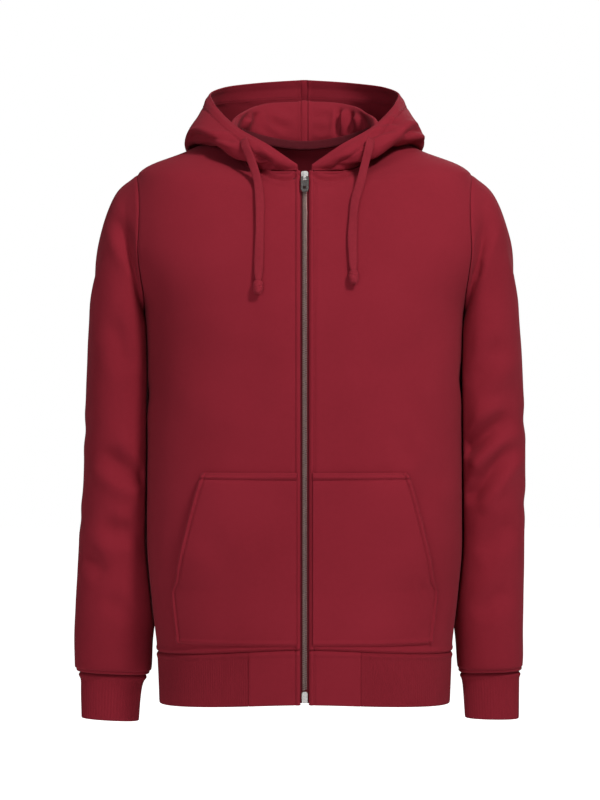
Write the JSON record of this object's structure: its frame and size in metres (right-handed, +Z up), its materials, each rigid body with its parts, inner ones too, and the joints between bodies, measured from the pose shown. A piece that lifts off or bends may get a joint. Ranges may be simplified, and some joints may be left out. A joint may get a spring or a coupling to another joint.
{
  "type": "zip up hoodie",
  "caption": "Full-zip fleece hoodie filled out as worn, hood down, with kangaroo pockets, rib cuffs and hem band, and flat drawcords.",
  "frame": {"origin": "inside the neck: half way between front and back, at the height of the two points where the shoulder seams meet the neckline, which is where the wearer's neck and shoulders hold it", "axes": "+Z up, front and zip facing -Y, +X towards the wearer's left"},
  "size_m": [0.5809, 0.3496, 0.8398],
  "materials": {
    "fleece": "burgundy sweatshirt fleece, matt with a soft nap",
    "rib": "burgundy rib knit, fine vertical ribs",
    "tape": "dark burgundy woven tape",
    "cord": "burgundy flat knitted drawcord",
    "chain_metal": "dark antique metal teeth",
    "slider_metal": "worn bright nickel"
  },
  "bodies": {
    "garment": {"front_left": "fleece", "front_right": "fleece", "back": "fleece", "sleeve_left": "fleece", "sleeve_right": "fleece", "hood_left": "fleece", "hood_right": "fleece", "pocket_left": "fleece", "pocket_right": "fleece", "hem_block_left": "fleece", "hem_block_right": "fleece", "hem_rib": "rib", "cuff_left": "rib", "cuff_right": "rib", "neck_tape": "tape", "zip_tape_left": "tape", "zip_tape_right": "tape", "zip_chain": "chain_metal", "zip_slider": "slider_metal", "zip_box": "slider_metal", "drawcord_left": "cord", "drawcord_right": "cord", "knot_left": "cord", "knot_right": "cord"},
    "pull": {"zip_pull": "slider_metal"}
  },
  "joints": [
    {"name": "pull_swing", "type": "hinge", "parent": "garment", "child": "pull", "pos_m": [0, -0.10952, -0.0684], "axis": [-1, 0, 0], "range_deg": [0, 150]}
  ]
}
